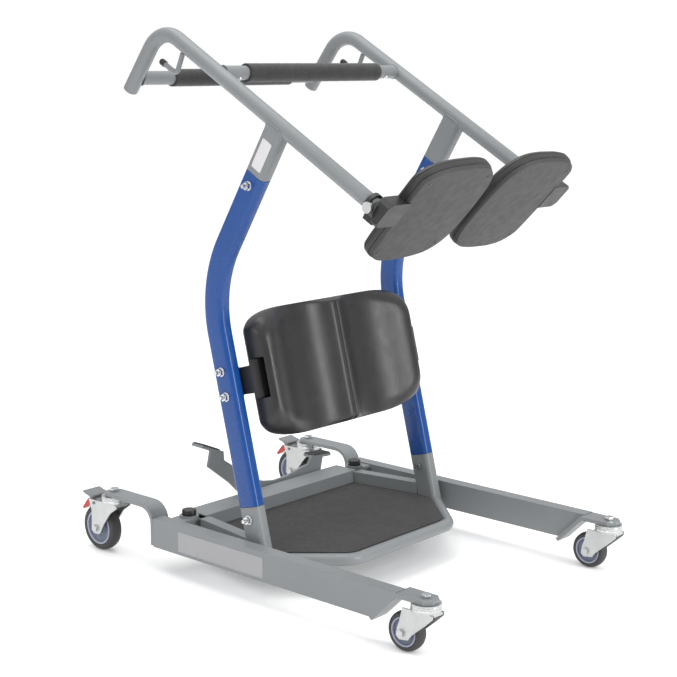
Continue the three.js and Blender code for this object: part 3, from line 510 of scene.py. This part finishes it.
for side, s in SIDES:
    refined(f"side_rail_{side}", "grey", 0.0022)
    refined(f"leg_{side}", "grey", 0.0016)
    refined(f"rear_arm_{side}", "grey", 0.0012)
    refined(f"tie_rod_{side}", "zinc", 0.0008)
    refined(f"seat_bracket_{side}", "black_steel", 0.0011)
    refined(f"seat_pivot_bolt_{side}", "zinc", 0.0007)
    for bolt in ("mast_bolt_lower", "mast_bolt_upper", "knee_bolt_upper", "knee_bolt_lower",
                 "stem_bolt_front", "stem_bolt_rear"):
        refined(f"{bolt}_{side}", "zinc", 0.0008)

    px, py = s * 260, 251
    knob = [(0.008, 0.1133), (0.0143, 0.1133), (0.015, 0.114), (0.015, 0.1225), (0.0143, 0.1242),
            (0.0125, 0.125), (0.0115, 0.1247), (0.002, 0.1246)]
    pin = Build()
    pin.lathe(at(px, py, 0), Z, knob, 48)
    pin.lathe(at(px, py, 0), Z, [(0.008, 0.047), (0.008, 0.1135)], 32)
    nut = [(0.004, 0.047), (0.0125, 0.047), (0.013, 0.0478), (0.013, 0.0552), (0.008, 0.0557)]
    pin.lathe(at(px, py, 0), Z, nut, 6)
    pin.make(f"leg_pivot_pin_{side}_knob", "cap", "base", (f"leg_pivot_pin_{side}",))

    # Plain blank panel on the leg's outer face.
    outer = s * 325.35
    panel = Build()
    rows = []
    for depth in (0.0, s * 0.35):
        rows.append([at(outer - depth, y, z) for y, z in (
            (214, 60), (216, 58), (-22, 58), (-24, 60), (-24, 97), (-22, 99), (212, 99), (214, 97))])
    panel.loft(rows)
    panel.make(f"leg_panel_{side}", "panel", f"leg_{side}", slot="frame_grey")

    # Bolt through the rear arm into the beam's end plug.
    Build().lathe(
        at(s * 307, 298.1, 80), (0, 1, 0),
        [(0.002, 0), (0.0105, 0), (0.011, 0.0004), (0.011, 0.0016), (0.0082, 0.0018), (0.0082, 0.0058),
         (0.0068, 0.0072), (0.002, 0.0074)], 24,
    ).make(f"arm_bolt_{side}", "zinc", f"leg_{side}", slot="bright_zinc")

# Blank panels on the posts' outer faces.
for side, s in SIDES:
    x = s * (MAST_X + 15.2)
    low, high = Vector(MAST_TOP), Vector(POST_TOP)
    along = (high - low).normalized()
    across = Vector((along.y, -along.x))
    if across.x < 0:
        across = -across
    corners = []
    for t, w in ((14, -13), (12, -11), (12, 11), (14, 13), (72, 13), (74, 11), (74, -11), (72, -13)):
        spot = low + along * t + across * w
        corners.append(spot)
    rows = [[at(x - depth, c.x, c.y) for c in corners] for depth in (0.0, s * 0.4)]
    Build().loft(rows).make(f"post_panel_{side}", "white", "base", slot="frame_grey")

# ---------------------------------------------------------------- casters
CASTER_X = 303
# Each row is the end, the swivel stem's y, the wheel's radius and half width, and the race's two heights.
for end, stem_y, radius, half, ring_z in (
    ("front", -405, 37.5, 12.5, (86, 101.7)),
    ("rear", 435, 50, 13.5, (112, 127.7)),
):
    for side, s in SIDES:
        x = s * CASTER_X
        fork_body = f"caster_{end}_{side}"
        wheel_body = f"wheel_{end}_{side}"
        refined(f"caster_fork_{end}_{side}", "pressed", 0.001)
        z0, z1 = ring_z[0] * MM, ring_z[1] * MM
        Build().lathe(
            at(x, stem_y, 0), Z,
            [(0.010, z0 + 0.003), (0.0255, z0 + 0.003), (0.0281, z0 + 0.0045), (0.0283, z0 + 0.0065),
             (0.0268, z0 + 0.0078), (0.0262, z0 + 0.0088), (0.0268, z0 + 0.0098), (0.0279, z0 + 0.0108),
             (0.0279, z1 - 0.003), (0.0268, z1 - 0.0014), (0.024, z1 - 0.0002), (0.010, z1 - 0.0001)],
            56,
        ).make(f"swivel_race_{end}_{side}", "zinc", fork_body, slot="bright_zinc")

        axle = at(x, stem_y + 42, radius)
        w, r = half * MM, radius * MM
        tread = []
        for i in range(17):
            angle = math.pi * i / 16
            tread.append((r - 0.0062 * (1 - math.sin(angle) ** 0.8), -w * math.cos(angle) * 0.985))
        tyre = [
            (r * 0.74, -w + 0.0012), (r * 0.8, -w + 0.0002),
            *tread[1:-1],
            (r * 0.8, w - 0.0002), (r * 0.74, w - 0.0012),
        ]
        Build().lathe(axle, X, tyre, 72, closed=True).make(
            f"tyre_{end}_{side}", "tyre", wheel_body, (f"wheel_{end}_{side}",))
        hub = [
            (0.0054, -w + 0.001), (r * 0.3, -w + 0.001), (r * 0.35, -w + 0.002), (r * 0.4, -w + 0.0048),
            (r * 0.62, -w + 0.0048), (r * 0.66, -w + 0.003), (r * 0.69, -w + 0.0008),
            (r * 0.735, -w + 0.0006), (r * 0.745, -w + 0.002),
        ]
        hub = hub + [(q, -h) for q, h in reversed(hub)]
        Build().lathe(axle, X, hub, 64, closed=True).make(
            f"hub_{end}_{side}", "hub", wheel_body, slot="wheel_tyre")
        for face in (-1, 1):
            Build().lathe(
                axle + X * face * (w - 0.0012), X * face,
                [
                    (r * 0.655, -0.002), (r * 0.735, -0.002), (r * 0.73, 0.0006), (r * 0.7, 0.001),
                    (r * 0.665, 0.0006),
                ],
                56, closed=True,
            ).make(f"hub_rim_{end}_{side}_{'out' if face * s > 0 else 'in'}", "hub_light", wheel_body,
                   slot="wheel_tyre")
            Build().lathe(
                axle + X * face * (w - 0.0006), X * face,
                [
                    (0.0054, -0.001), (r * 0.24, -0.001), (r * 0.25, 0.0008), (r * 0.22, 0.0012),
                    (0.0054, 0.0012),
                ],
                32, closed=True,
            ).make(f"bearing_{end}_{side}_{'out' if face * s > 0 else 'in'}", "zinc", wheel_body,
                   slot="bright_zinc")

# ---------------------------------------------------------------- brake pedals
# The release tab is the part of the lever inside this width and under this sloping line.
TAB_HALF = 9.3
TAB_FRONT_Y = 487
TAB_TOP_Y = 489
TAB_SLOPE = 0.656
for side, s in SIDES:
    brake = refined(f"brake_pedal_{side}", "lever", 0.001)
    brake.data.materials.append(M["red"])
    for face in brake.data.polygons:
        centre = face.center
        y, z = centre.y / MM + CENTRE_Y, centre.z / MM
        below_lever = z < 101 + (y - TAB_TOP_Y) * TAB_SLOPE
        within_tab = y > TAB_FRONT_Y and abs(centre.x / MM - s * CASTER_X) < TAB_HALF
        if below_lever and within_tab:
            face.material_index = 1

# ---------------------------------------------------------------- spreader pedal treads
ROCKER_TILT = math.radians(13.4)
ROCKER_Z = 96
rocker_turn = Matrix.Translation(at(0, CENTRE_Y, ROCKER_Z)) @ Matrix.Rotation(ROCKER_TILT, 4, "Y")
for side, s in SIDES:
    set_tread = (
        rocker_turn
        @ Matrix.Translation(Vector((s * 181, 0, 85)) * MM)
        @ Matrix.Rotation(-s * math.radians(10), 4, "Y")
    )
    build = Build()
    rings = []
    y0, y1 = (292 - CENTRE_Y), (326 - CENTRE_Y)
    for z, inset in ((6.1, 1.2), (6.6, 0.4), (8.2, 0.4), (8.8, 1.4)):
        outline = rounded_rect(56 - 2 * inset, y1 - y0 - 2 * inset, 3, 4)
        rings.append([
            set_tread @ Vector((a, (y0 + y1) / 2 * MM + b, z * MM)) for a, b in outline])
    build.loft(rings)
    for k in range(7):
        x0 = -22.5 + 7.5 * k
        rib = []
        for z, inset in ((8.6, 0.0), (9.5, 0.5)):
            rib.append([
                set_tread @ (Vector((x0 + dx * (1.6 - inset), (y0 + y1) / 2 + dy * (14 - inset), z)) * MM)
                for dx, dy in ((1, 1), (-1, 1), (-1, -1), (1, -1))])
        build.loft(rib)
    build.make(f"pedal_tread_{side}", "tread", "rocker", slot="mat_rubber")

# ---------------------------------------------------------------- seat paddles
SEAT_ORIGIN = (130.3, -270.4, 760.0)
SEAT_NORMAL = math.radians(43.5)
SEAT_TURN = math.radians(2.5)
SEAT_FLAT = 104.0
SEAT_SCREW_X = 82.6
SEAT_SCREW_Y = 91.3
SEAT_PLAN = [
    (102, -76), (104, 0), (105, 80), (98, 101), (74, 117), (36, 124), (0, 125), (-36, 124), (-72, 117),
    (-98, 98), (-112, 70), (-117, 34), (-118, 0), (-117, -34), (-112, -70), (-98, -98), (-72, -117),
    (-36, -124), (0, -125), (36, -124), (70, -116), (94, -98),
]


def seat_outline():
    """The paddle's outline, flat on its outer side, as a smooth closed loop in millimetres."""
    loop = SEAT_PLAN
    smooth = []
    count = len(loop)
    for i in range(count):
        p0, p1, p2, p3 = (Vector(loop[(i + k) % count]) for k in (-1, 0, 1, 2))
        for step in range(5):
            t = step / 5
            smooth.append(
                0.5 * ((2 * p1) + (p2 - p0) * t + (2 * p0 - 5 * p1 + 4 * p2 - p3) * t * t
                       + (3 * p1 - p0 - 3 * p2 + p3) * t ** 3))
    return smooth


OUTLINE = seat_outline()


def seat_matrix(s):
    n = Vector((0, math.cos(SEAT_NORMAL), math.sin(SEAT_NORMAL)))
    up = Vector((0, -n.z, n.y))
    flat = Matrix(((1, 0, 0), (0, up.y, n.y), (0, up.z, n.z))).to_4x4()
    place = Matrix.Translation(at(s * SEAT_ORIGIN[0], SEAT_ORIGIN[1], SEAT_ORIGIN[2])) @ flat
    place = place @ Matrix.Rotation(-s * SEAT_TURN, 4, "Z")
    return place @ Matrix.Diagonal((s, 1, 1, 1))


def seat_rings(s, levels):
    place = seat_matrix(s)
    rings = []
    for inset, height in levels:
        across = inset / 118
        flat = across * (1 + (118 / SEAT_FLAT - 1) * max(0.0, 1 - inset / 60))
        rings.append([
            place @ Vector((p.x * (1 - (flat if p.x > 0 else across)) * MM, p.y * (1 - inset / 125) * MM,
                            height * MM))
            for p in OUTLINE])
    return rings


def dome(levels, edge, rise, top, steps=7):
    """Rings closing a crown from an inset edge to its middle."""
    for i in range(1, steps + 1):
        t = i / steps
        levels.append((edge + (116 - edge) * t, top + rise * math.sin(t * math.pi / 2)))
    return levels


for side, s in SIDES:
    body = f"seat_{side}"
    Build().loft(seat_rings(s, [(6.0, 0.0), (4.2, 0.35), (3.2, 1.2), (2.4, 4.0), (1.6, 8.0)])).make(
        f"seat_board_{side}_plate", "board", body, (f"seat_board_{side}",))
    levels = [(3.0, 8.3), (0.8, 9.2), (0.0, 11.5), (-0.2, 15.0), (0.0, 18.6), (0.9, 19.4), (0.9, 20.0),
              (0.0, 20.8), (0.4, 23.5), (2.4, 26.6), (6.0, 28.9), (11.0, 30.2), (18.0, 30.9)]
    levels = dome(levels, 18.0, 1.3, 30.9)
    cushion = Build().loft(seat_rings(s, levels)).make(
        f"seat_cushion_{side}_pad", "rim", body, (f"seat_cushion_{side}",))
    place = seat_matrix(s)
    normal = (place.to_3x3() @ Vector((0, 0, 1))).normalized()
    for i, (u, v) in enumerate(((1, 1), (-1, 1), (1, -1), (-1, -1))):
        spot = place @ Vector((u * SEAT_SCREW_X * MM, v * SEAT_SCREW_Y * MM, 0))
        Build().lathe(
            spot, -normal,
            [(0.0005, -0.002), (0.0046, -0.002), (0.0046, 0.0002), (0.0036, 0.0006), (0.0021, 0.0006),
             (0.0019, -0.0008), (0.0003, -0.0009)], 24,
        ).make(f"seat_screw_{side}_{i + 1}", "cap", body, slot="black_cap")

# ---------------------------------------------------------------- knee pad
KNEE_MIDDLE = (120.5, 411.0)
KNEE_LEAN = math.atan(0.257)
PAD_BACK = 24.0
FRONT = [(0, 68.5), (2.5, 71.6), (5.5, 73.2), (10, 72.8), (16, 69.6), (24, 64.4), (34, 58.4), (46, 52.8),
         (60, 48.4), (76, 46.0), (92, 45.2), (108, 46.2), (124, 49.0), (140, 53.4), (156, 60.0),
         (170, 67.0), (183, 73.2), (195, 77.6), (204, 79.8), (211, 80.3), (216, 79.6)]
FACE_TOP = [(0, 121), (50, 121), (100, 116), (140, 107), (180, 93), (205, 74), (216, 52)]
FACE_BOTTOM = [(0, -113), (80, -111), (131, -103), (176, -91), (203, -73), (216, -46)]
BACK_TOP = [(0, 133), (100, 133), (159, 132), (194, 126), (220, 115), (235, 98)]
BACK_BOTTOM = [(0, -127), (100, -127), (140, -126.5), (185, -121), (220, -108), (235, -90)]
WALL = 45.0
# The opening in each end of the pad that takes the bracket's tongue.
SLOT_X = (210, 245)
SLOT_F = (44.5, 68.5)
SLOT_HALF = 40


def along_curve(points, value):
    """Height of the smooth curve through points at a distance out."""
    if value <= points[0][0]:
        return points[0][1]
    for i in range(len(points) - 1):
        (x1, y1), (x2, y2) = points[i], points[i + 1]
        if value <= x2 + 1e-9:
            x0, y0 = points[i - 1] if i else (-x2, y2)
            x3, y3 = points[i + 2] if i + 2 < len(points) else (2 * x2 - x1, 2 * y2 - y1)
            t = (value - x1) / (x2 - x1)
            m1 = (y2 - y0) / (x2 - x0) * (x2 - x1)
            m2 = (y3 - y1) / (x3 - x1) * (x2 - x1)
            return (
                (2 * t ** 3 - 3 * t ** 2 + 1) * y1 + (t ** 3 - 2 * t ** 2 + t) * m1
                + (3 * t ** 2 - 2 * t ** 3) * y2 + (t ** 3 - t ** 2) * m2
            )
    return points[-1][1]


def knee_pad_mesh(build, place):
    """A grid over the hollowed face, rolled over its edges on to a flat back."""
    out = [x for x, _ in FRONT]
    depth = dict(FRONT)
    columns = [-x for x in reversed(out[1:])] + out
    rows = 16
    edge = out[-1]
    back_edge = BACK_TOP[-1][0]

    def face_point(x, k):
        low = along_curve(FACE_BOTTOM, abs(x))
        high = along_curve(FACE_TOP, abs(x))
        t = k / rows
        return x, low + (high - low) * t, depth[abs(x)]

    perimeter = (
        [(x, rows) for x in columns]
        + [(edge, k) for k in range(rows - 1, 0, -1)]
        + [(x, 0) for x in reversed(columns)]
        + [(-edge, k) for k in range(1, rows)]
    )

    def back_point(x, k):
        wide = x * back_edge / edge
        if abs(x) < edge or k in (0, rows):
            curve = BACK_TOP if k == rows else BACK_BOTTOM
            return wide, along_curve(curve, abs(wide))
        t = k / rows
        return wide, BACK_BOTTOM[-1][1] + (BACK_TOP[-1][1] - BACK_BOTTOM[-1][1]) * t

    def vert(x, f, height):
        return build.bm.verts.new(place @ (Vector((x, -f, height)) * MM))

    grid = {}
    for x in columns:
        for k in range(rows + 1):
            px, height, f = face_point(x, k)
            grid[(x, k)] = vert(px, f, height)
    for x0, x1 in zip(columns, columns[1:]):
        for k in range(rows):
            build.bm.faces.new((grid[(x0, k)], grid[(x1, k)], grid[(x1, k + 1)], grid[(x0, k + 1)]))
    rings = [[grid[key] for key in perimeter]]
    for degrees in (78, 66, 54, 42, 30, 18, 8, 0):
        roll = math.radians(degrees)
        ring = []
        for x, k in perimeter:
            fx, fs, f = face_point(x, k)
            bx, bs = back_point(x, k)
            blend = 1 - math.cos(roll)
            depth_here = WALL + (f - WALL) * math.sin(roll)
            ring.append(vert(bx + (fx - bx) * blend, depth_here, bs + (fs - bs) * blend))
        rings.append(ring)
    for scale, f in ((1.0, 36), (1.0, 30), (0.988, 26), (0.965, PAD_BACK)):
        rings.append([
            vert(bx * scale, f, 3 + (bs - 3) * scale) for bx, bs in (back_point(x, k) for x, k in perimeter)])
    for inner, outer in zip(rings, rings[1:]):
        for i in range(len(inner)):
            j = (i + 1) % len(inner)
            build.bm.faces.new((inner[i], inner[j], outer[j], outer[i]))
    build.bm.faces.new(rings[-1])


lean = Matrix.Translation(at(0, *KNEE_MIDDLE)) @ Matrix.Rotation(-KNEE_LEAN, 4, "X")
pad_build = Build()
knee_pad_mesh(pad_build, lean)
pad = pad_build.make("knee_pad_moulded", "skin", "base", ("knee_pad",), subdivide=1)
slot_build = Build()
for s in (-1, 1):
    rows = []
    for x in SLOT_X:
        rows.append([lean @ Vector((s * x * MM, -f * MM, h * MM)) for f, h in (
            (SLOT_F[0], -SLOT_HALF), (SLOT_F[1], -SLOT_HALF),
            (SLOT_F[1], SLOT_HALF), (SLOT_F[0], SLOT_HALF))])
    slot_build.loft(rows)
bmesh.ops.recalc_face_normals(slot_build.bm, faces=slot_build.bm.faces)
slot_mesh = bpy.data.meshes.new("slot_cutter")
slot_build.bm.to_mesh(slot_mesh)
slot_build.bm.free()
cutter = bpy.data.objects.new("slot_cutter", slot_mesh)
bpy.context.scene.collection.objects.link(cutter)
carve = pad.modifiers.new("slots", "BOOLEAN")
carve.operation = "DIFFERENCE"
carve.solver = "EXACT"
carve.object = cutter
bpy.context.view_layer.update()
carved = bpy.data.meshes.new_from_object(pad.evaluated_get(bpy.context.evaluated_depsgraph_get()))
pad.modifiers.clear()
pad.data = carved
bpy.data.objects.remove(cutter)
smooth_by_angle(pad, 50)

# ---------------------------------------------------------------- floor, light and camera
floor_mesh = bpy.data.meshes.new("floor")
floor_mesh.from_pydata([(-30, -30, 0), (30, -30, 0), (30, 30, 0), (-30, 30, 0)], [], [(0, 1, 2, 3)])
floor = bpy.data.objects.new("floor", floor_mesh)
floor.location.z = -0.0002
bpy.context.scene.collection.objects.link(floor)
floor_mat, floor_tree, floor_shader = new_material("pale_floor", (0.93, 0.93, 0.93), 0.7)
floor_drift = noise(floor_tree, 1.5, 2.0)
floor_tint = ramp(floor_tree, floor_drift, 0.3, 0.7, (0.925, 0.925, 0.925), (0.935, 0.935, 0.935))
floor_tree.links.new(floor_tint, floor_shader.inputs["Base Color"])
floor_shader.inputs["Emission Color"].default_value = (1, 1, 1, 1)
floor_shader.inputs["Emission Strength"].default_value = 0.16
floor_mesh.materials.append(floor_mat)

world = bpy.data.worlds.new("studio")
bpy.context.scene.world = world
world.use_nodes = True
sky = world.node_tree
backdrop = sky.nodes["Background"]
backdrop.inputs["Color"].default_value = (1, 1, 1, 1)
backdrop.inputs["Strength"].default_value = 1.0
room = sky.nodes.new("ShaderNodeBackground")
direction = sky.nodes.new("ShaderNodeTexCoord")
split = sky.nodes.new("ShaderNodeSeparateXYZ")
sky.links.new(direction.outputs["Generated"], split.inputs["Vector"])
level = sky.nodes.new("ShaderNodeMapRange")
level.inputs["From Min"].default_value = -1.0
level.inputs["From Max"].default_value = 1.0
sky.links.new(split.outputs["Z"], level.inputs["Value"])
tone = sky.nodes.new("ShaderNodeValToRGB")
tone.color_ramp.elements[0].position = 0.0
tone.color_ramp.elements[0].color = (0.5, 0.5, 0.5, 1)
tone.color_ramp.elements[1].position = 1.0
tone.color_ramp.elements[1].color = (1.25, 1.25, 1.25, 1)
for place_at, grey in ((0.48, 0.34), (0.56, 0.4), (0.72, 0.8)):
    stop = tone.color_ramp.elements.new(place_at)
    stop.color = (grey, grey, grey * 1.02, 1)
sky.links.new(level.outputs["Result"], tone.inputs["Fac"])
sky.links.new(tone.outputs["Color"], room.inputs["Color"])
seen = sky.nodes.new("ShaderNodeLightPath")
choose = sky.nodes.new("ShaderNodeMixShader")
sky.links.new(seen.outputs["Is Camera Ray"], choose.inputs["Fac"])
sky.links.new(room.outputs["Background"], choose.inputs[1])
sky.links.new(backdrop.outputs["Background"], choose.inputs[2])
sky.links.new(choose.outputs["Shader"], sky.nodes["World Output"].inputs["Surface"])


def area_light(name, spot, target, size, power):
    data = bpy.data.lights.new(name, "AREA")
    data.shape = "RECTANGLE"
    data.size, data.size_y = size
    data.energy = power
    lamp = bpy.data.objects.new(name, data)
    lamp.location = spot
    aim = Vector(target) - Vector(spot)
    lamp.rotation_euler = aim.to_track_quat("-Z", "Y").to_euler()
    bpy.context.scene.collection.objects.link(lamp)


area_light("front_strip", (0.55, -3.4, 1.5), (0, 0, 0.55), (0.6, 2.6), 62)
area_light("top", (-0.2, 0.6, 4.2), (0, 0, 0), (3.0, 3.0), 70)
area_light("left_fill", (-3.8, 0.4, 2.0), (0, 0, 0.5), (1.4, 1.8), 22)

CAMERA_LENS = 79.5
CAMERA_SPOT = (-2.279, -1.9912, 1.04375)
CAMERA_RIGHT = Vector((0.66259662, -0.74896349, 0.00440603))
CAMERA_UP = Vector((0.13604887, 0.12614107, 0.98263886))
camera_data = bpy.data.cameras.new("camera")
camera_data.sensor_width = 36.0
camera_data.lens = CAMERA_LENS
camera = bpy.data.objects.new("camera", camera_data)
turned = Matrix((CAMERA_RIGHT, CAMERA_UP, CAMERA_RIGHT.cross(CAMERA_UP))).transposed().to_4x4()
camera.matrix_world = Matrix.Translation(CAMERA_SPOT) @ turned
bpy.context.scene.collection.objects.link(camera)
bpy.context.scene.camera = camera
bpy.context.scene.view_settings.view_transform = "Standard"
